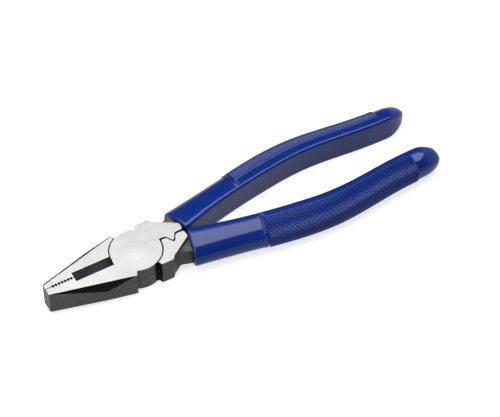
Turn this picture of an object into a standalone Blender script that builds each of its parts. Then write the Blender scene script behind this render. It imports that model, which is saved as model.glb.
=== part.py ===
"""Lineman pliers, about 220 mm long, with a crimping die behind the joint.

Two forged levers cross in a half-lap joint and turn on one flush rivet. Each lever carries a jaw,
half of the crimping die and a tang that fills a moulded grip.

Frame: the origin is on the pivot axis at the underside of the head, +X runs to the jaw tips, +Z is
up, and the jaws are closed. The lower lever is the upper one turned over about the X axis, apart
from its half of the die. Outlines are in millimetres and are scaled by MM as they are built.
"""
import math

import bmesh
import bpy
from mathutils import Matrix, Vector

MM = 0.001

# Driving dimensions, in millimetres.
HEAD_THICKNESS = 14.8
JOINT_RADIUS = 13.5
JAW_TIP_X = 51.0
JAW_TIP_HALF_WIDTH = 3.9
SHOULDER = (7.0, 14.95)
JAW_BEND = (22.6, 12.0)
FIT_GAP = 0.3
RIVET_CLEARANCE = 0.08

MID = HEAD_THICKNESS / 2
PARTING = FIT_GAP / 2
LAP_RADIUS = JOINT_RADIUS + 0.6

# Deep facet on one outer edge of the jaw, and a shallow one on the other.
FACET_DEPTH = 6.7
SHALLOW_FACET_HEEL = (8.5, 13.9)
SHALLOW_FACET_TIP = (51.0, 2.75)
SHALLOW_FACET_SIDE = (36.0, 8.3)
SHALLOW_FACET_DEPTH = 1.05

# Cutting recess between the knives.
RECESS_START_X = 13.8
RECESS_LAP_START_X = 12.0  # on the lap side it opens into the joint
RECESS_END_X = 35.1
RECESS_HALF_WIDTH = 2.9
RECESS_WALL = 0.8
KNIFE_LAND = 0.6

# Gripping serrations at the nose.
NOTCH_START_X = 35.9
NOTCH_COUNT = 7
NOTCH_PITCH = 1.7
NOTCH_WIDTH = 1.4
NOTCH_DEPTH = 0.8

# Crimping die behind the joint.
DIE_GAP = 1.05
DIE_CENTRE_X = -19.8
DIE_HALF_LENGTH = 3.2
DIE_HEIGHT = 4.0
DIE_STEPS = 12

# Pivot rivet, ground flush at both faces.
RIVET_RADIUS = 4.5
RIVET_HEAD_RADIUS = 6.2
RIVET_HEAD_DEPTH = 2.4
RIVET_LAND = 0.6

# Tang, a flat forged bar inside the grip.
TANG_HEIGHT = 10.2
TANG_WIDTH_FRONT = 8.6
TANG_WIDTH_REAR = 6.6
TANG_END_X = -156.0
TANG_EDGE_RADIUS = 1.6
TANG_STEP = 6.0
CAVITY_LEAD = 6.0

# Grip: centre line as (distance behind the pivot, distance from the X axis) and width across.
GRIP_HEIGHT = 16.6
GRIP_LIP_RADIUS = 1.4
GRIP_INNER_EDGE_RADIUS = 1.2
GRIP_INNER_EDGE_HEIGHT = 0.995  # of the half height, so the crown slopes to the inner edge
GRIP_CROWN = 0.14  # share of the width where the section is highest
GRIP_OUTER_POWER = 2.4
GRIP_TAIL_LENGTH = 13.0
GRIP_TAIL_POWER = 2.15
GRIP_PATH = [
    (26.8, 8.7, 18.2),
    (45.0, 12.9, 15.9),
    (65.0, 17.1, 15.2),
    (85.0, 20.5, 15.4),
    (105.0, 22.2, 14.6),
    (125.0, 21.0, 13.4),
    (145.0, 18.9, 12.9),
    (172.7, 18.2, 12.6),
]
GRIP_STEP = 3.5

ARC_SEGMENTS = 96

COLOURS = {
    "forged_steel": ((0.62, 0.62, 0.60, 1.0), 0.30, 1.0),
    "rivet_steel": ((0.66, 0.66, 0.64, 1.0), 0.28, 1.0),
    "blue_vinyl": ((0.005, 0.035, 0.25, 1.0), 0.30, 0.0),
}


def clear_scene():
    for obj in list(bpy.data.objects):
        bpy.data.objects.remove(obj, do_unlink=True)


def make_collection(name):
    collection = bpy.data.collections.new(name)
    bpy.context.scene.collection.children.link(collection)
    return collection


def make_material(name, slot):
    colour, roughness, metallic = COLOURS[slot]
    material = bpy.data.materials.new(name)
    material.use_nodes = True
    shader = material.node_tree.nodes["Principled BSDF"]
    shader.inputs["Base Color"].default_value = colour
    shader.inputs["Roughness"].default_value = roughness
    shader.inputs["Metallic"].default_value = metallic
    return material


# ---------------------------------------------------------------- outlines

def fillet(corner, before, after, radius, count=5):
    """Points of an arc of this radius that rounds the corner between two straight edges."""
    corner, before, after = Vector(corner), Vector(before), Vector(after)
    to_before = (before - corner).normalized()
    to_after = (after - corner).normalized()
    half_angle = to_before.angle(to_after) / 2
    centre = corner + (to_before + to_after).normalized() * (radius / math.sin(half_angle))
    start = corner + to_before * (radius / math.tan(half_angle)) - centre
    end = corner + to_after * (radius / math.tan(half_angle)) - centre
    turn = start.angle_signed(end)
    points = []
    for step in range(count + 1):
        spoke = start.copy()
        spoke.rotate(Matrix.Rotation(-turn * step / count, 2))
        points.append(tuple(centre + spoke))
    return points


def rounded_outline(corners):
    """Outline through (x, y, radius) corners; a radius of 0 keeps the corner sharp."""
    points = []
    for index, (x, y, radius) in enumerate(corners):
        if radius == 0:
            points.append((x, y))
            continue
        before = corners[index - 1][:2]
        after = corners[(index + 1) % len(corners)][:2]
        points += fillet((x, y), before, after, radius)
    return points


def jaw_outline():
    """Plan of the jaw on the +Y side, from the pivot to the nose."""
    corners = [(0.0, PARTING, 0)]
    for index in range(NOTCH_COUNT):
        x = NOTCH_START_X + index * NOTCH_PITCH
        corners.append((x, PARTING, 0))
        corners.append((x + NOTCH_WIDTH / 2, PARTING + NOTCH_DEPTH, 0))
        corners.append((x + NOTCH_WIDTH, PARTING, 0))
    corners += [
        (JAW_TIP_X, PARTING, 0),
        (JAW_TIP_X, JAW_TIP_HALF_WIDTH, 0.7),
        (*JAW_BEND, 0),
        (*SHOULDER, 0.4),
        (5.7, 12.25, 0),
        (3.0, 11.0, 0),
    ]
    return rounded_outline(corners)


def die_rise(x):
    """Height of the crimping tooth above the parting line."""
    offset = (x - DIE_CENTRE_X) / DIE_HALF_LENGTH
    return DIE_HEIGHT * (1 + math.cos(math.pi * offset)) / 2


def rear_block_outline(die_sign):
    """Plan of the block behind the joint on the -Y side; die_sign +1 is the tooth, -1 the nest."""
    corners = [(-3.0, -11.0, 0), (-3.0, -DIE_GAP / 2, 0)]
    for step in range(DIE_STEPS + 1):
        x = DIE_CENTRE_X + DIE_HALF_LENGTH * (1 - 2 * step / DIE_STEPS)
        corners.append((x, -DIE_GAP / 2 + die_sign * die_rise(x), 0))
    corners += [
        (-27.4, -DIE_GAP / 2, 1.5),
        (-27.4, -4.9, 1.6),
        (-15.4, -12.9, 0.6),
        (-13.9, -14.9, 0.4),
        (-7.1, -14.8, 0.5),
        (-6.6, -13.2, 0),
        (-5.9, -12.55, 0),
        (-4.9, -12.5, 0),
    ]
    return rounded_outline(corners)


# ---------------------------------------------------------------- solids

def curve_to_mesh(curve_object, collection):
    """Mesh object with the curve's shape and welded caps; the curve is removed."""
    depsgraph = bpy.context.evaluated_depsgraph_get()
    mesh = bpy.data.meshes.new_from_object(curve_object.evaluated_get(depsgraph))
    work = bmesh.new()
    work.from_mesh(mesh)
    bmesh.ops.remove_doubles(work, verts=work.verts, dist=0.00001)
    bmesh.ops.recalc_face_normals(work, faces=work.faces)
    work.to_mesh(mesh)
    work.free()
    name, place, curve = curve_object.name, curve_object.matrix_world.copy(), curve_object.data
    bpy.data.objects.remove(curve_object, do_unlink=True)
    bpy.data.curves.remove(curve)
    solid = bpy.data.objects.new(name, mesh)
    solid.matrix_world = place
    collection.objects.link(solid)
    return solid


def outline_solid(name, points, low, high, collection):
    """Flat outline in millimetres, extruded along Z from low to high."""
    curve = bpy.data.curves.new(name, "CURVE")
    curve.dimensions = "2D"
    curve.fill_mode = "BOTH"
    curve.extrude = (high - low) / 2 * MM
    spline = curve.splines.new("POLY")
    spline.points.add(len(points) - 1)
    for point, (x, y) in zip(spline.points, points):
        point.co = (x * MM, y * MM, 0.0, 1.0)
    spline.use_cyclic_u = True
    curve_object = bpy.data.objects.new(name, curve)
    curve_object.location.z = (low + high) / 2 * MM
    bpy.context.scene.collection.objects.link(curve_object)
    bpy.context.view_layer.update()
    solid = curve_to_mesh(curve_object, collection)
    apply_transform(solid)
    return solid


def apply_transform(obj):
    obj.data.transform(obj.matrix_world)
    obj.matrix_world = Matrix.Identity(4)


def cylinder(name, radius, low, high, collection):
    """Upright cylinder on the pivot axis."""
    mesh = bpy.data.meshes.new(name)
    work = bmesh.new()
    middle = Matrix.Translation((0.0, 0.0, (low + high) / 2 * MM))
    bmesh.ops.create_cone(work, cap_ends=True, segments=ARC_SEGMENTS, radius1=radius * MM,
                          radius2=radius * MM, depth=(high - low) * MM, matrix=middle)
    work.to_mesh(mesh)
    work.free()
    obj = bpy.data.objects.new(name, mesh)
    collection.objects.link(obj)
    return obj


def prism_along_x(name, section, x_start, x_end, collection):
    """Prism whose (y, z) section runs from x_start to x_end."""
    prism = outline_solid(name, section, x_start, x_end, collection)
    prism.matrix_world = Matrix(((0, 0, 1, 0), (1, 0, 0, 0), (0, 1, 0, 0), (0, 0, 0, 1)))
    apply_transform(prism)
    return prism


def turned(name, profile, collection):
    """Solid of revolution about Z from (radius, z) points that run down the outer side."""
    mesh = bpy.data.meshes.new(name)
    points = [(radius * MM, 0.0, height * MM) for radius, height in profile]
    mesh.from_pydata(points, [(i, i + 1) for i in range(len(points) - 1)], [])
    obj = bpy.data.objects.new(name, mesh)
    collection.objects.link(obj)
    screw = obj.modifiers.new("Turn", "SCREW")
    screw.steps = ARC_SEGMENTS
    screw.render_steps = ARC_SEGMENTS
    screw.use_merge_vertices = True
    screw.merge_threshold = 0.00001
    return obj


def combine(obj, tool, operation):
    """Boolean modifier that joins, or cuts, obj with a hidden tool."""
    tool.hide_render = True
    tool.display_type = "WIRE"
    modifier = obj.modifiers.new(f"{operation.title()} {tool.name}", "BOOLEAN")
    modifier.operation = operation
    modifier.solver = "EXACT"
    modifier.object = tool


# ---------------------------------------------------------------- grip path

def path_point(s):
    """Centre (x, -y side) and width of the grip at distance s behind the pivot, by Catmull-Rom."""
    last = len(GRIP_PATH) - 2
    span = max(i for i in range(last + 1) if GRIP_PATH[i][0] <= s or i == 0)
    p1, p2 = GRIP_PATH[span], GRIP_PATH[span + 1]
    p0 = GRIP_PATH[span - 1] if span > 0 else [2 * a - b for a, b in zip(p1, p2)]
    p3 = GRIP_PATH[span + 2] if span < last else [2 * b - a for a, b in zip(p1, p2)]
    t = (s - p1[0]) / (p2[0] - p1[0])
    offset, width = (
        0.5 * (2 * b + (c - a) * t + (2 * a - 5 * b + 4 * c - d) * t * t
               + (3 * b - a - 3 * c + d) * t * t * t)
        for a, b, c, d in zip(p0[1:], p1[1:], p2[1:], p3[1:]))
    return Vector((-s, -offset)), width


def path_outward(s):
    """Unit vector across the grip, pointing away from the other handle."""
    tangent = (path_point(s + 0.5)[0] - path_point(s - 0.5)[0]).normalized()
    return Vector((-tangent.y, tangent.x))


def tang_outline(clearance, front_x):
    """Plan of the tang along the grip's centre line, grown by a clearance."""
    start, end = -front_x, -TANG_END_X + clearance
    count = int((end - start) / TANG_STEP)
    inner, outer = [], []
    for step in range(count + 1):
        s = start + (end - start) * step / count
        centre = path_point(s)[0]
        across = path_outward(s)
        share = step / count
        half = (TANG_WIDTH_FRONT * (1 - share) + TANG_WIDTH_REAR * share) / 2 + clearance
        outer.append(tuple(centre + across * half))
        inner.append(tuple(centre - across * half))
    return outer + inner[::-1]


def handle_outline():
    """Plan of the neck behind the joint and the tang that follows it, on the -Y side."""
    neck = [
        (-14.4, -5.0, 0),
        (-12.2, -13.9, 0),
        (-13.6, -13.9, 0.5),
        (-16.6, -11.3, 2.5),
        (-20.5, -11.2, 3.0),
        (-24.5, -12.6, 0),
    ]
    return rounded_outline(neck) + tang_outline(0.0, -GRIP_PATH[0][0])


# ---------------------------------------------------------------- pieces

def facet_cutter(name, tip, heel, side, collection):
    """Block with one face in the plane of three points, on the far side from the joint."""
    tip, heel, side = Vector(tip), Vector(heel), Vector(side)
    along = (tip - heel).normalized()
    normal = along.cross(side - heel).normalized()
    if normal.y < 0:
        normal.negate()
    across = normal.cross(along)
    length, width, depth = 90.0, 60.0, 20.0
    block = outline_solid(name, [(-length / 2, -width / 2), (length / 2, -width / 2),
                                 (length / 2, width / 2), (-length / 2, width / 2)],
                          0.0, depth, collection)
    frame = Matrix((along, across, normal)).transposed().to_4x4()
    block.matrix_world = Matrix.Translation((tip + heel) / 2 * MM) @ frame
    apply_transform(block)
    return block


def cut_facets(lever, name, cutters):
    """Deep facet on the jaw's upper outer edge and shallow one on its lower outer edge."""
    deep = facet_cutter(f"{name}_deep_facet",
                        (JAW_TIP_X, JAW_TIP_HALF_WIDTH, HEAD_THICKNESS),
                        (*SHOULDER, HEAD_THICKNESS),
                        (*JAW_BEND, HEAD_THICKNESS - FACET_DEPTH), cutters)
    combine(lever, deep, "DIFFERENCE")
    shallow = facet_cutter(f"{name}_shallow_facet", (*SHALLOW_FACET_TIP, 0.0),
                           (*SHALLOW_FACET_HEEL, 0.0),
                           (*SHALLOW_FACET_SIDE, SHALLOW_FACET_DEPTH), cutters)
    combine(lever, shallow, "DIFFERENCE")


def recess_cutter(name, x_start, upward, collection):
    """Half of the cutting recess: a prism that narrows from a face of the head to the knife edge."""
    outer = RECESS_HALF_WIDTH
    section = [(-1.0, 1.0), (outer, 1.0), (outer, -RECESS_WALL),
               (PARTING, KNIFE_LAND - MID), (-1.0, KNIFE_LAND - MID)]
    if upward:
        section = [(y, HEAD_THICKNESS + depth) for y, depth in section]
    else:
        section = [(y, -depth) for y, depth in section]
    return prism_along_x(name, section, x_start, RECESS_END_X, collection)


def rivet_profile(clearance):
    """Half section of the rivet with countersunk heads, grown by a clearance."""
    shank = RIVET_RADIUS + clearance
    head = RIVET_HEAD_RADIUS + clearance
    top = HEAD_THICKNESS + clearance
    return [(0.0, top), (head, top), (head, HEAD_THICKNESS - RIVET_LAND),
            (shank, HEAD_THICKNESS - RIVET_HEAD_DEPTH), (shank, RIVET_HEAD_DEPTH),
            (head, RIVET_LAND), (head, -clearance), (0.0, -clearance)]


def make_rivet(parts):
    rivet = turned("pivot_rivet", rivet_profile(0.0), parts)
    rivet.data.materials.append(make_material("rivet_steel", "rivet_steel"))
    return rivet


def make_lever(name, die_sign, parts, cutters):
    """Lever in the upper lever's pose: upper half of the joint, jaw on +Y, handle on -Y."""
    lever = outline_solid(name, jaw_outline(), 0.0, HEAD_THICKNESS, parts)
    cut_facets(lever, name, cutters)
    block = outline_solid(f"{name}_rear_block", rear_block_outline(die_sign), 0.0, HEAD_THICKNESS,
                          cutters)
    combine(lever, block, "UNION")
    below = cylinder(f"{name}_lap", LAP_RADIUS, -1.0, MID + FIT_GAP / 2, cutters)
    combine(lever, below, "DIFFERENCE")
    disc = cylinder(f"{name}_disc", JOINT_RADIUS, MID + FIT_GAP / 2, HEAD_THICKNESS, cutters)
    combine(lever, disc, "UNION")
    recess = recess_cutter(f"{name}_recess", RECESS_START_X, True, cutters)
    combine(lever, recess, "DIFFERENCE")
    lap_recess = recess_cutter(f"{name}_lap_recess", RECESS_LAP_START_X, False, cutters)
    combine(lever, lap_recess, "DIFFERENCE")

    half_height = TANG_HEIGHT / 2
    handle = outline_solid(f"{name}_handle", handle_outline(), MID - half_height,
                           MID + half_height, cutters)
    soften_edges(handle, TANG_EDGE_RADIUS)
    combine(lever, handle, "UNION")
    combine(lever, turned(f"{name}_rivet_hole", rivet_profile(RIVET_CLEARANCE), cutters),
            "DIFFERENCE")
    lever.data.materials.append(make_material(name, "forged_steel"))
    return lever


def soften_edges(obj, width):
    bevel = obj.modifiers.new("Soften", "BEVEL")
    bevel.width = width * MM
    bevel.segments = 3
    bevel.limit_method = "ANGLE"
    bevel.angle_limit = math.radians(40)


def grip_section(width, height):
    """Closed (across, up) section: flat towards the other handle, full and round outside."""
    half, top = width / 2, height / 2
    edge = min(GRIP_INNER_EDGE_RADIUS, half * 0.6)
    round_start = -half + GRIP_CROWN * width
    quarter = 9
    upper = []
    for step in range(4):
        angle = math.pi - math.pi / 2 * step / 3
        upper.append((-half + edge + edge * math.cos(angle),
                      top * GRIP_INNER_EDGE_HEIGHT - edge + edge * math.sin(angle)))
    for step in range(quarter + 1):
        angle = math.pi / 2 * (1 - step / quarter)
        across = round_start + (half - round_start) * math.cos(angle) ** (2 / GRIP_OUTER_POWER)
        upper.append((across, top * math.sin(angle) ** (2 / GRIP_OUTER_POWER)))
    lower = [(across, -up) for across, up in reversed(upper[:-1])]
    return upper + lower


def grip_stations():
    """(distance, scale of the section, lip inset) for each ring of the grip."""
    start, end = GRIP_PATH[0][0], GRIP_PATH[-1][0]
    tail = end - GRIP_TAIL_LENGTH
    rings = []
    for step in range(4):
        angle = math.pi / 2 * step / 3
        distance = start + GRIP_LIP_RADIUS * (1 - math.cos(angle))
        rings.append((distance, 1.0, GRIP_LIP_RADIUS * (1 - math.sin(angle))))
    first = start + GRIP_LIP_RADIUS
    count = round((tail - first) / GRIP_STEP)
    rings += [(first + (tail - first) * step / count, 1.0, 0.0) for step in range(1, count + 1)]
    tail_rings = 8
    for step in range(1, tail_rings + 1):
        angle = math.pi / 2 * step / (tail_rings + 0.35)
        share = math.sin(angle)
        scale = (1 - share ** GRIP_TAIL_POWER) ** (1 / GRIP_TAIL_POWER)
        rings.append((tail + GRIP_TAIL_LENGTH * share, scale, 0.0))
    return rings


def loft(name, rings, collection):
    """Closed solid through rings that have the same number of points."""
    mesh = bpy.data.meshes.new(name)
    work = bmesh.new()
    loops = [[work.verts.new(point) for point in ring] for ring in rings]
    for low, high in zip(loops, loops[1:]):
        for index in range(len(low)):
            after = (index + 1) % len(low)
            work.faces.new((low[index], low[after], high[after], high[index]))
    work.faces.new(loops[0])
    work.faces.new(loops[-1])
    bmesh.ops.recalc_face_normals(work, faces=work.faces)
    work.to_mesh(mesh)
    work.free()
    obj = bpy.data.objects.new(name, mesh)
    collection.objects.link(obj)
    return obj


def make_grip(name, parts, cutters):
    """Moulded sleeve on the -Y handle, with a blind cavity that the tang fills."""
    rings = []
    for distance, scale, inset in grip_stations():
        centre, width = path_point(distance)
        across = path_outward(distance)
        section = grip_section(width * scale - 2 * inset, GRIP_HEIGHT * scale - 2 * inset)
        rings.append([Vector(((centre.x + across.x * u) * MM, (centre.y + across.y * u) * MM,
                              (MID + up) * MM)) for u, up in section])
    grip = loft(name, rings, parts)
    half_height = TANG_HEIGHT / 2 + FIT_GAP
    cavity = outline_solid(f"{name}_cavity",
                           tang_outline(FIT_GAP, CAVITY_LEAD - GRIP_PATH[0][0]),
                           MID - half_height, MID + half_height, cutters)
    soften_edges(cavity, TANG_EDGE_RADIUS)
    combine(grip, cavity, "DIFFERENCE")
    grip.data.shade_smooth()
    grip.data.set_sharp_from_angle(angle=math.radians(40))
    grip.data.materials.append(make_material(name, "blue_vinyl"))
    return grip


def turn_over(obj):
    """Turn a piece over about the X axis through the middle of the head."""
    obj.matrix_world = (Matrix.Translation((0.0, 0.0, HEAD_THICKNESS * MM))
                        @ Matrix.Rotation(math.pi, 4, "X"))


def main():
    clear_scene()
    parts = make_collection("lineman_pliers")
    cutters = make_collection("cutters")
    make_lever("upper_lever", 1, parts, cutters)
    make_grip("upper_lever_grip", parts, cutters)
    lower_lever = make_lever("lower_lever", -1, parts, cutters)
    lower_grip = make_grip("lower_lever_grip", parts, cutters)
    make_rivet(parts)
    for obj in list(cutters.objects):
        if obj.name.startswith("lower_lever"):
            turn_over(obj)
    turn_over(lower_lever)
    turn_over(lower_grip)
    cutters.hide_render = True


main()
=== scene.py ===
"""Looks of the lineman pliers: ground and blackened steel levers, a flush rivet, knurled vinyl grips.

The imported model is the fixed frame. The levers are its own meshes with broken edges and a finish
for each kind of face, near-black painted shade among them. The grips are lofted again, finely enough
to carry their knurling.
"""
import math

import bmesh
import bpy
import numpy as np
from mathutils import Matrix, Vector


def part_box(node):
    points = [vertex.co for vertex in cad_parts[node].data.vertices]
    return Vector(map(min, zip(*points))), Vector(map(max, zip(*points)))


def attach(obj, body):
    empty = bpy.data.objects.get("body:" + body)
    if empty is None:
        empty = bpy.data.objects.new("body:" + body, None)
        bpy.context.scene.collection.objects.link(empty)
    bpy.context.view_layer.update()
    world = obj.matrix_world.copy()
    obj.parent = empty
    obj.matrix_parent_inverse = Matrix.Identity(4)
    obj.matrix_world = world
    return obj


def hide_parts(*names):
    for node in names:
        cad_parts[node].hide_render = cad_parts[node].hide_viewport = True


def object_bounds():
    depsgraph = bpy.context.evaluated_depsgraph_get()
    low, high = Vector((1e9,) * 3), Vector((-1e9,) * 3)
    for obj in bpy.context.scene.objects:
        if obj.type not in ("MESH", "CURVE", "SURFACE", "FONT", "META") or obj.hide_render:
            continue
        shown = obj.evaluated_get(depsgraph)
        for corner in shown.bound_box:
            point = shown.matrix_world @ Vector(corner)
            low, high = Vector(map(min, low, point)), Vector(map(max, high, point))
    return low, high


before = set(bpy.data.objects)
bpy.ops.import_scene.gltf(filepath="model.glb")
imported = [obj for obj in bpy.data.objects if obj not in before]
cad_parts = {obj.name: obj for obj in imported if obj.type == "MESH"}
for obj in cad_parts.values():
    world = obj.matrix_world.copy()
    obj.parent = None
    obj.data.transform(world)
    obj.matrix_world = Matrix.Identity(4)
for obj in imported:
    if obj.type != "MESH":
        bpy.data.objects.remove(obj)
cad_low, cad_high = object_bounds()

MM = 0.001

# Head, from the frame.
lever_low, lever_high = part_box("upper_lever")
HEAD_TOP = lever_high.z
HEAD_UNDER = lever_low.z
MID = (HEAD_TOP + HEAD_UNDER) / 2

# Broken edges of the steel.
EDGE_ANGLE = math.radians(28)
EDGE_WIDTH = 0.08 * MM
EDGE_STRIP_AREA = 2e-7
EDGE_STRIP_WIDTH = 0.1 * MM
EDGE_STRIP_LENGTH = 0.5 * MM
WELD_DISTANCE = 0.002 * MM
FLAT_ANGLE = math.radians(0.6)
STEEL_SHARP_ANGLE = math.radians(38)

# Rivet, in metres.
RIVET_HOLE_RADIUS = 6.28 * MM
RIVET_SHANK_RADIUS = 4.5 * MM
RIVET_HEAD_RADIUS = 6.2 * MM
RIVET_HEAD_DEPTH = 2.4 * MM
RIVET_HEAD_STRAIGHT = 0.6 * MM
RIVET_CAP_RADIUS = 6.6 * MM
RIVET_CAP_PROUD = 0.01 * MM
RIVET_CAP_EDGE = 0.1 * MM
RIVET_CAP_LAND = 0.004 * MM
RIVET_STEPS = 96
RIVET_SHARP_ANGLE = math.radians(30)

# Where the levers face each other: along the jaws, the die and the rear of the joint. The walls there
# get near-black painted shade, which draws dark lines between the levers.
JOINT_RADIUS = 13.5 * MM
JOINT_GAP_REACH = 0.9 * MM
JOINT_GAP_START_X = -5.0 * MM
JAW_GAP_START_X = 12.5 * MM
JAW_GAP_REACH = 1.0 * MM
DIE_START_X = -13.0 * MM
DIE_END_X = -26.0 * MM
DIE_REACH = 4.6 * MM

# Borders between the finishes of a lever.
GROUND_DEPTH = 0.02 * MM
LEVEL = 0.99  # size of a normal's Z on a face that lies level
TILTED = 0.05
SLOPED = 0.2
OUTWARD = 0.3
TANG_START_X = -27.6 * MM
NECK_START_X = -14.0 * MM
NECK_DEPTH = 1.8 * MM
NECK_SIDE_Y = 10.0 * MM
NECK_STEP_DEPTHS = (2.0 * MM, 3.0 * MM)
NECK_STEP_Y = 4.0 * MM
LAP_REACH = 0.5 * MM
# Outward jaw facets from here on get near-black painted shade.
FACET_START_X = 7 * MM
# Groove in front of the joint block, which gets near-black painted shade.
BLOCK_FRONT_X = (-7.3 * MM, -4.0 * MM)
BLOCK_FRONT_Y = 11.0 * MM
RECESS_X = (12.0 * MM, 35.2 * MM)
RECESS_REACH = 3.0 * MM

# Grips, in millimetres: the CAD grips' centre line and section, with softer edges.
GRIP_PATH = [
    (26.8, 8.7, 18.2),
    (45.0, 12.9, 15.9),
    (65.0, 17.1, 15.2),
    (85.0, 20.5, 15.4),
    (105.0, 22.2, 14.6),
    (125.0, 21.0, 13.4),
    (145.0, 18.9, 12.9),
    (172.7, 18.2, 12.6),
]
GRIP_HEIGHT = 16.6
LIP_RADIUS = 1.4
INNER_EDGE_RADIUS = 1.25
TAIL_EDGE_RADIUS = 3.2
FRONT_EDGE_RADIUS = 1.6
FRONT_EDGE_LENGTH = 45.0
INNER_EDGE_HEIGHT = 0.995
CROWN = 0.14
OUTER_POWER = 2.4
TAIL_LENGTH = 13.0
TAIL_POWER = 2.15

# Knurling, in millimetres.
KNURL_START = 66.4
KNURL_END = 155.8
KNURL_PITCH = 2.1
KNURL_STEPS = 6
KNURL_HEIGHT = 0.46
KNURL_BASE = 0.15
BAND_COLUMNS = 8
UPPER_BAND = 4.3
UPPER_DIAMONDS = 8
LOWER_BAND = 2.5
LOWER_DIAMONDS = 9
BEAD_CENTRE = 64.7
BEAD_WIDTH = 0.55
BEAD_HEIGHT = 0.5
GROOVE_CENTRE = 65.8
GROOVE_WIDTH = 0.45
GROOVE_DEPTH = 0.45
KNURL_FADE = 2.0  # columns
BEAD_FADE = 5.0

# Fineness of the grips' meshes: points in a stretch, and steps in millimetres.
OUTER_POINTS = 160
SLOPE_POINTS = 24
CORNER_POINTS = 24
WALL_POINTS = 12
CORNER_STOPS = 9
WALL_STOPS = 6
TAIL_RINGS = 30
TAIL_TIP = 0.985  # share of a quarter turn where the tail's last ring lies
PLAIN_STEP = 0.8
KNURL_END_GAP = 0.12
BEAD_STEP = 0.15
BEAD_REACH = 2.0
FRONT_STEP = 1.0
LIP_RINGS = 9
CAVITY_STARTS = (0.25, 0.8, 2.0)
CAVITY_RINGS = 60
SLOPE_STEP = 0.5
VINYL_SHARP_ANGLE = math.radians(34)

# Mouth and cavity round the tang, in millimetres.
TANG_HALF_HEIGHT = 5.1
TANG_HALF_FRONT = 4.3
TANG_HALF_REAR = 3.3
TANG_END = 156.0
TANG_GAP = 0.3
MOUTH_GAP = 0.9
MOUTH_DEPTH = 4.0
CAVITY_POWER = 7.0

# Studio, in metres, but for the camera's lens and sensor in millimetres.
FLOOR_SIZE = 12.0
FLOOR_DROP = 0.02 * MM
FLOOR_GLOW = 0.72
OVERHEAD_HEIGHT = 0.9
OVERHEAD_EDGES = (0.10, -0.62)
OVERHEAD_WIDTH = 1.15
OVERHEAD_RADIANCE = 7.4
SIDE_CENTRE = (0.60, -0.40)
SIDE_SIZE = (0.60, 0.85)
SIDE_RADIANCE = 6.0
LIGHTS_CENTRE_X = -0.06
HORIZON_HEIGHTS = (0.02, 0.14)  # Z of a direction, from the pale horizon to the dim room
HORIZON_LEVELS = (0.95, 0.20)
WALL_DIRECTIONS = (0.52, 0.62)  # X of a direction, over which the walls fade in
WALL_LEVEL = 1.1
CAMERA_AZIMUTH = math.radians(150.13)
CAMERA_ELEVATION = math.radians(49.83)
CAMERA_DISTANCE = 1.0
CAMERA_TARGET = Vector((-70.27, -5.87, 0.0)) * MM
CAMERA_LENS = 136.4
CAMERA_SENSOR = 36.0


# ---------------------------------------------------------------- node helpers

def new_material(name):
    material = bpy.data.materials.new(name)
    material.use_nodes = True
    return material, material.node_tree, material.node_tree.nodes["Principled BSDF"]


def add_node(tree, kind, inputs=None, **settings):
    """Node with its settings and inputs; an input is a value or another node's output socket."""
    node = tree.nodes.new(kind)
    for key, value in settings.items():
        setattr(node, key, value)
    for key, value in (inputs or {}).items():
        if isinstance(value, bpy.types.NodeSocket):
            tree.links.new(value, node.inputs[key])
        else:
            node.inputs[key].default_value = value
    return node


def stretched_noise(tree, scale, detail=3.0, roughness=0.55, turn=0.0):
    """Noise over the row frame, with its own scale along each axis, in waves per metre."""
    place = add_node(tree, "ShaderNodeTexCoord")
    mapping = add_node(tree, "ShaderNodeMapping", {"Vector": place.outputs["Object"],
                                                   "Rotation": (0.0, 0.0, turn), "Scale": scale})
    noise = add_node(tree, "ShaderNodeTexNoise", {"Vector": mapping.outputs["Vector"], "Scale": 1.0,
                                                  "Detail": detail, "Roughness": roughness})
    return noise.outputs["Fac"]


def ramp(tree, value, low, high, start=0.0, end=1.0):
    """Value remapped from low..high to start..end, and kept inside it."""
    node = add_node(tree, "ShaderNodeMapRange", {"Value": value, "From Min": low, "From Max": high,
                                                 "To Min": start, "To Max": end})
    return node.outputs["Result"]


def mix_colour(tree, share, first, second):
    node = add_node(tree, "ShaderNodeMix", data_type="RGBA")
    for socket, value in ((node.inputs[0], share), (node.inputs[6], first),
                          (node.inputs[7], second)):
        if isinstance(value, bpy.types.NodeSocket):
            tree.links.new(value, socket)
        else:
            socket.default_value = value
    return node.outputs[2]


def bump(tree, height, distance, strength=1.0, below=None):
    inputs = {"Height": height, "Distance": distance, "Strength": strength}
    if below is not None:
        inputs["Normal"] = below
    return add_node(tree, "ShaderNodeBump", inputs).outputs["Normal"]


# ---------------------------------------------------------------- materials

def ground_steel():
    """Bright belt-ground faces: fine lines along the tool, a few stray scratches, faint haze."""
    material, tree, shader = new_material("ground_steel")
    lines = stretched_noise(tree, (90, 3600, 3600), 4.0, 0.65)
    haze = stretched_noise(tree, (70, 110, 110), 3.0)
    scratches = stretched_noise(tree, (140, 2600, 900), 2.0, 0.4, math.radians(23))
    worn = ramp(tree, haze, 0.35, 0.7)
    colour = mix_colour(tree, worn, (0.27, 0.27, 0.262, 1), (0.235, 0.235, 0.228, 1))
    scratched = mix_colour(tree, ramp(tree, scratches, 0.66, 0.74, 0.0, 0.5), colour,
                           (0.19, 0.19, 0.183, 1))
    tree.links.new(scratched, shader.inputs["Base Color"])
    tree.links.new(ramp(tree, lines, 0.3, 0.7, 0.36, 0.46), shader.inputs["Roughness"])
    shader.inputs["Metallic"].default_value = 1.0
    normal = bump(tree, lines, 0.00002, 0.6)
    normal = bump(tree, scratches, 0.00002, 0.3, normal)
    tree.links.new(normal, shader.inputs["Normal"])
    return material


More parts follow.
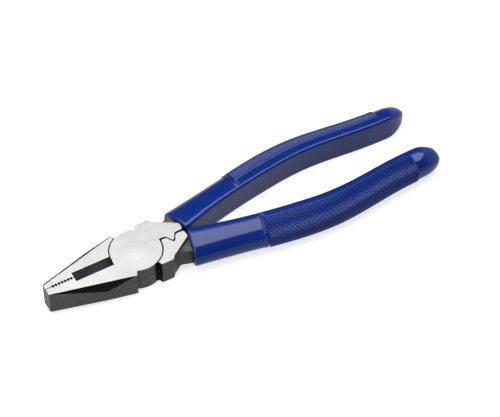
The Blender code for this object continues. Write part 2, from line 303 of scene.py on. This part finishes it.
def milled_steel():
    """Mating, gripping and cutting faces: grey steel with cross milling marks."""
    material, tree, shader = new_material("milled_steel")
    lines = stretched_noise(tree, (2400, 300, 160), 3.0)
    haze = stretched_noise(tree, (120, 120, 120), 2.0)
    colour = mix_colour(tree, haze, (0.22, 0.22, 0.235, 1), (0.10, 0.10, 0.11, 1))
    tree.links.new(colour, shader.inputs["Base Color"])
    tree.links.new(ramp(tree, lines, 0.3, 0.7, 0.34, 0.50), shader.inputs["Roughness"])
    shader.inputs["Metallic"].default_value = 1.0
    tree.links.new(bump(tree, lines, 0.00003, 0.7), shader.inputs["Normal"])
    return material


def black_oxide(name, dark, light, patch, roughness, gloss, ior=1.5):
    """Blackened forging: fine tooth, soft mottling and rubbed patches; with darker settings it makes
    the painted shade.
    """
    material, tree, shader = new_material(name)
    tooth = stretched_noise(tree, (2600, 2600, 2600), 3.0, 0.6)
    mottle = stretched_noise(tree, (330, 330, 330), 5.0, 0.62)
    broad = stretched_noise(tree, (75, 75, 95), 2.0)
    colour = mix_colour(tree, ramp(tree, mottle, 0.36, 0.66), dark, light)
    colour = mix_colour(tree, ramp(tree, broad, 0.50, 0.72, 0.0, 0.7), colour, patch)
    tree.links.new(colour, shader.inputs["Base Color"])
    tree.links.new(ramp(tree, mottle, 0.3, 0.7, roughness, roughness + 0.14),
                   shader.inputs["Roughness"])
    shader.inputs["Specular IOR Level"].default_value = gloss
    shader.inputs["IOR"].default_value = ior
    normal = bump(tree, tooth, 0.00004, 0.5)
    normal = bump(tree, mottle, 0.00012, 0.35, normal)
    tree.links.new(normal, shader.inputs["Normal"])
    return material


def rubbed_edge():
    """Broken edges of the blackened faces, rubbed back to steel in places."""
    material, tree, shader = new_material("rubbed_edge")
    rub = stretched_noise(tree, (420, 420, 420), 4.0, 0.6)
    share = ramp(tree, rub, 0.42, 0.62)
    colour = mix_colour(tree, share, (0.06, 0.06, 0.058, 1), (0.30, 0.30, 0.29, 1))
    tree.links.new(colour, shader.inputs["Base Color"])
    tree.links.new(ramp(tree, share, 0.0, 1.0, 0.2, 0.9), shader.inputs["Metallic"])
    tree.links.new(ramp(tree, rub, 0.3, 0.7, 0.48, 0.34), shader.inputs["Roughness"])
    tree.links.new(bump(tree, rub, 0.00004, 0.5), shader.inputs["Normal"])
    return material


def blue_vinyl():
    """Glossy moulded vinyl: deep blue, a faint cloud in the colour and a slight orange peel."""
    material, tree, shader = new_material("blue_vinyl")
    cloud = stretched_noise(tree, (60, 60, 60), 3.0)
    peel = stretched_noise(tree, (420, 420, 420), 2.0, 0.45)
    tooth = stretched_noise(tree, (3200, 3200, 3200), 2.0)
    colour = mix_colour(tree, ramp(tree, cloud, 0.3, 0.7), (0.0006, 0.0098, 0.084, 1),
                        (0.0008, 0.0118, 0.100, 1))
    tree.links.new(colour, shader.inputs["Base Color"])
    tree.links.new(ramp(tree, tooth, 0.3, 0.7, 0.09, 0.14), shader.inputs["Roughness"])
    shader.inputs["IOR"].default_value = 1.48
    shader.inputs["Specular IOR Level"].default_value = 0.23
    normal = bump(tree, peel, 0.00006, 0.18)
    normal = bump(tree, tooth, 0.00001, 0.35, normal)
    tree.links.new(normal, shader.inputs["Normal"])
    return material


def floor_finish():
    """Pale floor with a glow that keeps the shadow on it faint, and a barely visible unevenness."""
    material, tree, shader = new_material("studio_white")
    cloud = stretched_noise(tree, (9, 9, 9), 2.0)
    colour = mix_colour(tree, cloud, (0.21, 0.21, 0.21, 1), (0.23, 0.23, 0.23, 1))
    tree.links.new(colour, shader.inputs["Base Color"])
    shader.inputs["Roughness"].default_value = 0.85
    shader.inputs["Specular IOR Level"].default_value = 0.15
    shader.inputs["Emission Color"].default_value = (1.0, 1.0, 1.0, 1.0)
    shader.inputs["Emission Strength"].default_value = FLOOR_GLOW
    return material


STEEL_FINISHES = {
    "ground": ground_steel(),
    "milled": milled_steel(),
    "oxide": black_oxide("black_oxide", (0.020, 0.020, 0.019, 1), (0.034, 0.034, 0.032, 1),
                         (0.042, 0.041, 0.039, 1), 0.36, 0.25),
    # Near-black copy of the oxide with a weak reflection: painted shade for the gaps between the
    # levers, the groove in front of the joint block and the outward jaw facets.
    "painted_shade": black_oxide("black_oxide_painted_shade", (0.0012, 0.0011, 0.0010, 1), (0.0030, 0.0028, 0.0026, 1),
                         (0.0050, 0.0048, 0.0044, 1), 0.50, 0.5, 1.12),
    "neck": black_oxide("forged_neck", (0.007, 0.008, 0.006, 1), (0.036, 0.037, 0.030, 1),
                        (0.060, 0.060, 0.050, 1), 0.42, 0.22),
    "edge": rubbed_edge(),
}
FINISH_ORDER = list(STEEL_FINISHES)
VINYL = blue_vinyl()


# ---------------------------------------------------------------- meshes

def link_object(name, mesh):
    obj = bpy.data.objects.new(name, mesh)
    bpy.context.scene.collection.objects.link(obj)
    return obj


def in_gap(place):
    """True for a place where the two levers face each other; walls there get painted shade."""
    along_jaws = place.x > JAW_GAP_START_X and abs(place.y) < JAW_GAP_REACH
    along_die = DIE_END_X < place.x < DIE_START_X and abs(place.y) < DIE_REACH
    off_joint_wall = abs(place.xy.length - JOINT_RADIUS)
    round_joint = place.x < JOINT_GAP_START_X and off_joint_wall < JOINT_GAP_REACH
    return along_jaws or along_die or round_joint


def face_finish(centre, normal, side):
    """Finish of one lever face from where it is and where it looks, painted shade among them; side is
    the jaw's side in Y.
    """
    depth = min(HEAD_TOP - centre.z, centre.z - HEAD_UNDER)
    level = abs(normal.z)
    x, y = centre.x, abs(centre.y)
    behind = x < NECK_START_X
    on_neck_step = NECK_STEP_DEPTHS[0] < depth < NECK_STEP_DEPTHS[1] and y > NECK_STEP_Y
    if depth < GROUND_DEPTH and level > LEVEL:
        return "ground"
    # Walls where the levers face each other: near-black painted shade.
    if in_gap(centre) and level < LEVEL:
        return "painted_shade"
    if x < TANG_START_X or (behind and depth > NECK_DEPTH and y > NECK_SIDE_Y):
        return "neck"
    if behind and on_neck_step and level > SLOPED:
        return "neck"
    if level > LEVEL and abs(centre.z - MID) < LAP_REACH:
        return "milled"
    # Outward jaw facets: near-black painted shade.
    if x > FACET_START_X and level > TILTED and normal.y * side > OUTWARD:
        return "painted_shade"
    # Groove in front of the joint block: near-black painted shade.
    if BLOCK_FRONT_X[0] < x < BLOCK_FRONT_X[1] and y > BLOCK_FRONT_Y:
        return "painted_shade"
    if RECESS_X[0] < x < RECESS_X[1] and y < RECESS_REACH and level > TILTED:
        return "milled"
    return "oxide"


def steel_lever(name, node, side):
    """The CAD lever with flat faces merged, its edges broken and a finish on each face."""
    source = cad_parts[node].data
    mesh = bpy.data.meshes.new(name)
    mesh.from_pydata([v.co[:] for v in source.vertices], [],
                     [tuple(p.vertices) for p in source.polygons])
    work = bmesh.new()
    work.from_mesh(mesh)
    bmesh.ops.remove_doubles(work, verts=work.verts, dist=WELD_DISTANCE)
    bmesh.ops.dissolve_limit(work, angle_limit=FLAT_ANGLE, verts=work.verts, edges=work.edges)
    bmesh.ops.recalc_face_normals(work, faces=work.faces)
    weight = work.edges.layers.float.new("bevel_weight_edge")
    for edge in work.edges:
        if len(edge.link_faces) == 2 and edge.calc_face_angle(0.0) > EDGE_ANGLE:
            middle = (edge.verts[0].co + edge.verts[1].co) / 2
            in_rivet_hole = middle.xy.length < RIVET_HOLE_RADIUS * 1.05
            edge[weight] = 0.0 if in_rivet_hole else 1.0
    work.to_mesh(mesh)
    work.free()
    raw = link_object(f"{name}_raw", mesh)
    bevel = raw.modifiers.new("Broken edges", "BEVEL")
    bevel.limit_method = "WEIGHT"
    bevel.width = EDGE_WIDTH
    bevel.segments = 2
    bevel.use_clamp_overlap = False
    depsgraph = bpy.context.evaluated_depsgraph_get()
    broken = bpy.data.meshes.new_from_object(raw.evaluated_get(depsgraph))
    broken.name = name
    bpy.data.objects.remove(raw, do_unlink=True)
    for finish in FINISH_ORDER:
        broken.materials.append(STEEL_FINISHES[finish])
    for face in broken.polygons:
        finish = face_finish(face.center, face.normal, side)
        narrow = finish == "oxide" and face.area < EDGE_STRIP_AREA and is_edge_strip(face)
        face.material_index = FINISH_ORDER.index("edge" if narrow else finish)
    broken.shade_smooth()
    broken.set_sharp_from_angle(angle=STEEL_SHARP_ANGLE)
    lever = link_object(name, broken)
    flatten = lever.modifiers.new("Keep faces flat", "WEIGHTED_NORMAL")
    flatten.keep_sharp = True
    flatten.weight = 100
    return lever


def is_edge_strip(face):
    """True for the long thin faces that a broken edge leaves."""
    mesh = face.id_data
    corners = [mesh.vertices[v].co for v in face.vertices]
    if len(corners) != 4:
        return False
    sides = sorted((corners[k] - corners[k - 1]).length for k in range(4))
    return sides[1] < EDGE_STRIP_WIDTH and sides[2] > EDGE_STRIP_LENGTH


def rivet_piece():
    """Ground rivet, whose ends lap over the rims of its hole, so that it all but vanishes."""
    cap, head = RIVET_CAP_RADIUS, RIVET_HEAD_RADIUS
    top, under = HEAD_TOP + RIVET_CAP_PROUD, HEAD_UNDER - RIVET_CAP_PROUD
    land, depth = RIVET_CAP_LAND, RIVET_HEAD_DEPTH
    profile = [(cap - RIVET_CAP_EDGE, top), (cap, top - land), (cap, HEAD_TOP - land),
               (head, HEAD_TOP - 2 * land), (head, HEAD_TOP - RIVET_HEAD_STRAIGHT),
               (RIVET_SHANK_RADIUS, HEAD_TOP - depth), (RIVET_SHANK_RADIUS, HEAD_UNDER + depth),
               (head, HEAD_UNDER + RIVET_HEAD_STRAIGHT), (head, HEAD_UNDER + 2 * land),
               (cap, HEAD_UNDER + land), (cap, under + land), (cap - RIVET_CAP_EDGE, under)]
    turns = [2 * math.pi * k / RIVET_STEPS for k in range(RIVET_STEPS)]
    work = bmesh.new()
    rings = []
    for radius, height in profile:
        rings.append([work.verts.new((radius * math.cos(turn), radius * math.sin(turn), height))
                      for turn in turns])
    for upper, lower in zip(rings, rings[1:]):
        for k in range(RIVET_STEPS):
            after = (k + 1) % RIVET_STEPS
            work.faces.new((upper[k], lower[k], lower[after], upper[after]))
    work.faces.new(rings[0])
    work.faces.new(rings[-1][::-1])
    bmesh.ops.recalc_face_normals(work, faces=work.faces)
    mesh = bpy.data.meshes.new("rivet")
    work.to_mesh(mesh)
    work.free()
    mesh.materials.append(STEEL_FINISHES["ground"])
    mesh.shade_smooth()
    mesh.set_sharp_from_angle(angle=RIVET_SHARP_ANGLE)
    return link_object("rivet", mesh)


# ---------------------------------------------------------------- grips

def smooth(t):
    t = np.clip(t, 0.0, 1.0)
    return t * t * (3 - 2 * t)


def natural_spline(knots, values, at):
    """Cubic spline through the knots, with continuous curvature, at the given places."""
    knots, values = np.array(knots), np.array(values)
    step = np.diff(knots)
    count = len(knots)
    system = np.eye(count)
    right = np.zeros(count)
    for i in range(1, count - 1):
        system[i, i - 1:i + 2] = step[i - 1], 2 * (step[i - 1] + step[i]), step[i]
        slopes = (values[i + 1] - values[i]) / step[i] - (values[i] - values[i - 1]) / step[i - 1]
        right[i] = 6 * slopes
    bend = np.linalg.solve(system, right)
    span = np.clip(np.searchsorted(knots, at) - 1, 0, count - 2)
    h = step[span]
    a, b = (knots[span + 1] - at) / h, (at - knots[span]) / h
    return (a * values[span] + b * values[span + 1]
            + ((a ** 3 - a) * bend[span] + (b ** 3 - b) * bend[span + 1]) * h * h / 6)


def path_at(s):
    """Centre (x, y), unit vector across (away from the other grip) and width, in millimetres."""
    s = np.asarray(s, float)
    knots = [p[0] for p in GRIP_PATH]
    offset = natural_spline(knots, [p[1] for p in GRIP_PATH], s)
    width = natural_spline(knots, [p[2] for p in GRIP_PATH], s)
    ahead = natural_spline(knots, [p[1] for p in GRIP_PATH], s + SLOPE_STEP)
    behind = natural_spline(knots, [p[1] for p in GRIP_PATH], s - SLOPE_STEP)
    slope = (ahead - behind) / (2 * SLOPE_STEP)
    across = np.stack([slope, -np.ones_like(s)], -1)
    across /= np.linalg.norm(across, axis=-1, keepdims=True)
    return np.stack([-s, -offset], -1), across, width


def half_section(width, height, edge_radius):
    """Fine upper half of the grip's outline, from the outermost point to the inner wall's middle."""
    half, top = width / 2, height / 2
    edge = min(edge_radius, half * 0.6)
    crown = -half + CROWN * width
    angle = np.linspace(0, math.pi / 2, OUTER_POINTS)
    outer = np.stack([crown + (half - crown) * np.cos(angle) ** (2 / OUTER_POWER),
                      top * np.sin(angle) ** (2 / OUTER_POWER)], -1)
    share = np.linspace(0, 1, SLOPE_POINTS)[1:]
    slope = np.stack([crown + (-half + edge - crown) * share,
                      top * (1 - (1 - INNER_EDGE_HEIGHT) * smooth(share))], -1)
    turn = np.linspace(math.pi / 2, math.pi, CORNER_POINTS)[1:]
    corner = np.stack([-half + edge + edge * np.cos(turn),
                       top * INNER_EDGE_HEIGHT - edge + edge * np.sin(turn)], -1)
    wall_length = top * INNER_EDGE_HEIGHT - edge
    corner_length = edge * math.pi / 2
    wall = np.stack([np.full(WALL_POINTS, -half),
                     np.linspace(wall_length, 0, WALL_POINTS + 1)[1:]], -1)
    outline = np.concatenate([outer, slope, corner, wall])
    length = np.concatenate([[0], np.cumsum(np.linalg.norm(np.diff(outline, axis=0), axis=1))])
    return outline, length, wall_length, corner_length


def outline_stops(length, wall, corner, band, diamonds):
    """Places along half the outline: the knurl's own grid, then band, edge and inner wall."""
    total = length[-1]
    knurl = total - wall - corner - band
    columns = diamonds * KNURL_STEPS
    stops = np.concatenate([
        np.linspace(0, knurl, columns + 1),
        np.linspace(knurl, knurl + band, BAND_COLUMNS + 1)[1:],
        np.linspace(total - wall - corner, total - wall, CORNER_STOPS + 1)[1:],
        np.linspace(total - wall, total, WALL_STOPS + 1)[1:]])
    return stops, columns


def ring_section(width, height, edge_radius):
    """Ring of points with their normals, grid columns, and weights of the knurl and the bead."""
    outline, length, wall, corner = half_section(width, height, edge_radius)
    scale = width / GRIP_PATH[2][2]
    halves = []
    for band, diamonds, sign in ((UPPER_BAND, UPPER_DIAMONDS, 1), (LOWER_BAND, LOWER_DIAMONDS, -1)):
        stops, columns = outline_stops(length, wall, corner, band * scale, diamonds)
        points = np.stack([np.interp(stops, length, outline[:, 0]),
                           sign * np.interp(stops, length, outline[:, 1])], -1)
        column = np.arange(len(stops)) * sign
        inside = smooth((columns - np.abs(column)) / KNURL_FADE)
        outside = smooth((columns + BAND_COLUMNS - np.abs(column)) / BEAD_FADE)
        halves.append((points, column, inside, outside))
    upper, lower = halves
    points, column, inside, outside = (np.concatenate([first, second[1:-1][::-1]])
                                       for first, second in zip(upper, lower))
    along = np.roll(points, -1, 0) - np.roll(points, 1, 0)
    normals = np.stack([along[:, 1], -along[:, 0]], -1)
    normals /= np.maximum(np.linalg.norm(normals, axis=1, keepdims=True), 1e-9)
    return points, normals, column, inside, outside


def across_diamond(t):
    """-1 and 1 at the valleys beside a diamond, 0 along its middle."""
    return 2 * (t - np.floor(t)) - 1


def surface_height(s, row, column, inside, outside):
    """Height of the diamond knurling, the bead in front of it and the groove between them."""
    height = np.zeros(len(column))
    if row is not None:
        first = across_diamond((row + column) / KNURL_STEPS)
        second = across_diamond((row - column) / KNURL_STEPS)
        diamond = (1 - first ** 2) * (1 - second ** 2)
        height = (KNURL_BASE + KNURL_HEIGHT * diamond) * inside
    bead = BEAD_HEIGHT * math.exp(-((s - BEAD_CENTRE) / BEAD_WIDTH) ** 2)
    groove = GROOVE_DEPTH * math.exp(-((s - GROOVE_CENTRE) / GROOVE_WIDTH) ** 2)
    return height + (bead - groove) * outside


def cavity_ring(half_width, half_height, points):
    """Rounded rectangle with one point for each point of an outer ring, in the same order."""
    angle = np.arctan2(points[:, 1] / half_height, points[:, 0] / half_width)
    direction = np.stack([np.cos(angle), np.sin(angle)], -1)
    reach = (np.abs(direction) ** CAVITY_POWER).sum(1) ** (-1 / CAVITY_POWER)
    return direction * reach[:, None] * (half_width, half_height)


def outside_stations():
    """(distance, scale, lip inset, row in the knurl's grid) from the tail to the mouth."""
    start, end = GRIP_PATH[0][0], GRIP_PATH[-1][0]
    tail = end - TAIL_LENGTH
    step = KNURL_PITCH / KNURL_STEPS
    rows = int((KNURL_END - KNURL_START) / step)
    knurl_end = KNURL_START + rows * step
    stations = []
    for share in np.sin(np.linspace(math.pi / 2 * TAIL_TIP, 0, TAIL_RINGS))[:-1]:
        scale = (1 - share ** TAIL_POWER) ** (1 / TAIL_POWER)
        stations.append((tail + TAIL_LENGTH * share, scale, 0.0, None))
    plain = np.arange(tail, knurl_end + PLAIN_STEP, -PLAIN_STEP)
    for s in (*plain, knurl_end + KNURL_END_GAP):
        stations.append((s, 1.0, 0.0, None))
    for row in range(rows, -1, -1):
        stations.append((KNURL_START + row * step, 1.0, 0.0, row))
    for s in np.arange(KNURL_START - BEAD_STEP, BEAD_CENTRE - BEAD_REACH, -BEAD_STEP):
        stations.append((s, 1.0, 0.0, None))
    front = BEAD_CENTRE - BEAD_REACH - FRONT_STEP / 2
    for s in np.arange(front, start + LIP_RADIUS + FRONT_STEP / 2, -FRONT_STEP):
        stations.append((s, 1.0, 0.0, None))
    for angle in np.linspace(math.pi / 2, 0, LIP_RINGS):
        stations.append((start + LIP_RADIUS * (1 - math.cos(angle)), 1.0,
                         LIP_RADIUS * (1 - math.sin(angle)), None))
    return stations


def outside_rings():
    """(distance, row, ring of (across, up) points) over the outside of the grip."""
    start, end = GRIP_PATH[0][0], GRIP_PATH[-1][0]
    rings = []
    for s, scale, inset, row in outside_stations():
        width = float(path_at(s)[2])
        front = float(1 - smooth((s - start) / FRONT_EDGE_LENGTH))
        rear = float(smooth((s - (end - TAIL_LENGTH)) / TAIL_LENGTH))
        edge_radius = INNER_EDGE_RADIUS + (FRONT_EDGE_RADIUS - INNER_EDGE_RADIUS) * front
        edge_radius += (TAIL_EDGE_RADIUS - INNER_EDGE_RADIUS) * rear
        points, normals, column, inside, outside = ring_section(
            width * scale - 2 * inset, GRIP_HEIGHT * scale - 2 * inset, edge_radius)
        if scale == 1.0 and inset == 0.0:
            points = points + normals * surface_height(s, row, column, inside, outside)[:, None]
        rings.append((s, row, points))
    return rings


def cavity_rings(last_ring):
    """The same over the wall of the blind cavity, from the mouth to the end of the tang."""
    start = GRIP_PATH[0][0]
    rings = []
    *first, rest = (start + step for step in CAVITY_STARTS)
    for s in (*first, *np.linspace(rest, TANG_END, CAVITY_RINGS)):
        share = (s - start) / (TANG_END - start)
        gap = TANG_GAP + (MOUTH_GAP - TANG_GAP) * float(1 - smooth((s - start) / MOUTH_DEPTH))
        half_width = TANG_HALF_FRONT * (1 - share) + TANG_HALF_REAR * share + gap
        rings.append((s, None, cavity_ring(half_width, TANG_HALF_HEIGHT + gap, last_ring)))
    return rings


def wall_faces(row, count, low, high):
    """Faces between two rings; in the knurl, triangles that meet along its diagonal valleys."""
    faces = []
    first, last = -LOWER_DIAMONDS * KNURL_STEPS, UPPER_DIAMONDS * KNURL_STEPS
    for k in range(count):
        after = (k + 1) % count
        a, b, c, d = low + k, low + after, high + after, high + k
        column = k if k <= last else k - count
        if row is None or not first <= column < last:
            faces.append((a, b, c, d))
        elif (row + column) % KNURL_STEPS == 0:
            faces.append((a, b, c))
            faces.append((a, c, d))
        elif (row - column - 1) % KNURL_STEPS == 0:
            faces.append((a, b, d))
            faces.append((b, c, d))
        else:
            faces.append((a, b, c, d))
    return faces


def vinyl_grip(name, turned_over):
    """Moulded sleeve: knurled outside, rolled lip and the blind cavity that the tang fills."""
    rings = outside_rings()
    rings += cavity_rings(rings[-1][2])
    flip = -1.0 if turned_over else 1.0
    points = []
    for s, _, ring in rings:
        centre, across, _ = path_at(s)
        flat = centre[None] + ring[:, :1] * across[None]
        up = ring[:, 1:]
        points.append(np.concatenate([flat[:, :1], flat[:, 1:] * flip, up * flip], 1))
    count = len(points[0])
    cloud = np.concatenate(points) * MM
    cloud[:, 2] += MID
    faces = []
    for index in range(len(rings) - 1):
        row = rings[index][1]
        faces += wall_faces(row, count, index * count, (index + 1) * count)
    faces.append(tuple(range(count)))
    faces.append(tuple(range(len(cloud) - count, len(cloud))))
    mesh = bpy.data.meshes.new(name)
    mesh.from_pydata(cloud.tolist(), [], faces)
    work = bmesh.new()
    work.from_mesh(mesh)
    bmesh.ops.recalc_face_normals(work, faces=work.faces)
    work.to_mesh(mesh)
    work.free()
    mesh.materials.append(VINYL)
    mesh.shade_smooth()
    mesh.set_sharp_from_angle(angle=VINYL_SHARP_ANGLE)
    return link_object(name, mesh)


def build_pieces():
    upper = steel_lever("upper_lever_steel", "upper_lever", 1)
    lower = steel_lever("lower_lever_steel", "lower_lever", -1)
    rivet = rivet_piece()
    upper_grip = vinyl_grip("upper_grip_vinyl", False)
    lower_grip = vinyl_grip("lower_grip_vinyl", True)
    for piece, node, body, slot in (
            (upper, "upper_lever", "upper_half", "forged_steel"),
            (rivet, "pivot_rivet", "upper_half", "rivet_steel"),
            (upper_grip, "upper_lever_grip", "upper_half", "blue_vinyl"),
            (lower, "lower_lever", "lower_half", "forged_steel"),
            (lower_grip, "lower_lever_grip", "lower_half", "blue_vinyl")):
        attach(piece, body)
        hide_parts(node)


# ---------------------------------------------------------------- studio

def make_floor():
    mesh = bpy.data.meshes.new("floor")
    half = FLOOR_SIZE / 2
    low = cad_low.z - FLOOR_DROP
    corners = [(-half, -half, low), (half, -half, low), (half, half, low), (-half, half, low)]
    mesh.from_pydata(corners, [], [(0, 1, 2, 3)])
    mesh.materials.append(floor_finish())
    floor = link_object("floor", mesh)


def make_world():
    """Dim room with a pale horizon and pale walls beyond both ends of the tool."""
    world = bpy.data.worlds.new("studio")
    bpy.context.scene.world = world
    world.use_nodes = True
    tree = world.node_tree
    place = add_node(tree, "ShaderNodeTexCoord")
    parts = add_node(tree, "ShaderNodeSeparateXYZ", {"Vector": place.outputs["Generated"]})
    horizon = ramp(tree, parts.outputs["Z"], *HORIZON_HEIGHTS, *HORIZON_LEVELS)
    along = add_node(tree, "ShaderNodeMath", {0: parts.outputs["X"]}, operation="ABSOLUTE")
    walls = ramp(tree, along.outputs[0], *WALL_DIRECTIONS, 0.0, WALL_LEVEL)
    level = add_node(tree, "ShaderNodeMath", {0: horizon, 1: walls}, operation="MAXIMUM").outputs[0]
    background = tree.nodes["Background"]
    tree.links.new(level, background.inputs["Strength"])
    background.inputs["Color"].default_value = (1.0, 1.0, 1.0, 1.0)


def softbox(name, centre, direction, across, size, radiance):
    """Rectangular light at a centre, shining along a direction; size is (across, along)."""
    width, height = size
    light = bpy.data.lights.new(name, "AREA")
    light.shape = "RECTANGLE"
    light.size, light.size_y = width, height
    light.energy = radiance * math.pi * width * height
    obj = bpy.data.objects.new(name, light)
    back = -Vector(direction).normalized()
    side = Vector(across).normalized()
    obj.matrix_world = Matrix((side, back.cross(side), back)).transposed().to_4x4()
    obj.location = centre
    bpy.context.scene.collection.objects.link(obj)


def make_camera():
    camera = bpy.data.cameras.new("camera")
    camera.lens = CAMERA_LENS
    camera.sensor_width = CAMERA_SENSOR
    obj = bpy.data.objects.new("camera", camera)
    level = math.cos(CAMERA_ELEVATION)
    back = Vector((math.sin(CAMERA_AZIMUTH) * level, -math.cos(CAMERA_AZIMUTH) * level,
                   math.sin(CAMERA_ELEVATION)))
    obj.location = CAMERA_TARGET + back * CAMERA_DISTANCE
    obj.rotation_euler = (-back).to_track_quat("-Z", "Y").to_euler()
    bpy.context.scene.collection.objects.link(obj)
    bpy.context.scene.camera = obj


def build_studio():
    make_floor()
    make_world()
    make_camera()
    toward = Vector((math.sin(CAMERA_AZIMUTH), -math.cos(CAMERA_AZIMUTH), 0.0))
    across = Vector((-toward.y, toward.x, 0.0))
    above = Vector((LIGHTS_CENTRE_X, 0.0, OVERHEAD_HEIGHT))
    near, far = OVERHEAD_EDGES
    softbox("overhead_softbox", above + toward * (near + far) / 2, (0, 0, -1), across,
            (OVERHEAD_WIDTH, near - far), OVERHEAD_RADIANCE)
    side = toward * SIDE_CENTRE[0] + across * SIDE_CENTRE[1]
    softbox("side_softbox", above + side, (0, 0, -1), across, SIDE_SIZE, SIDE_RADIANCE)
    bpy.context.scene.view_settings.view_transform = "Standard"


build_pieces()
build_studio()
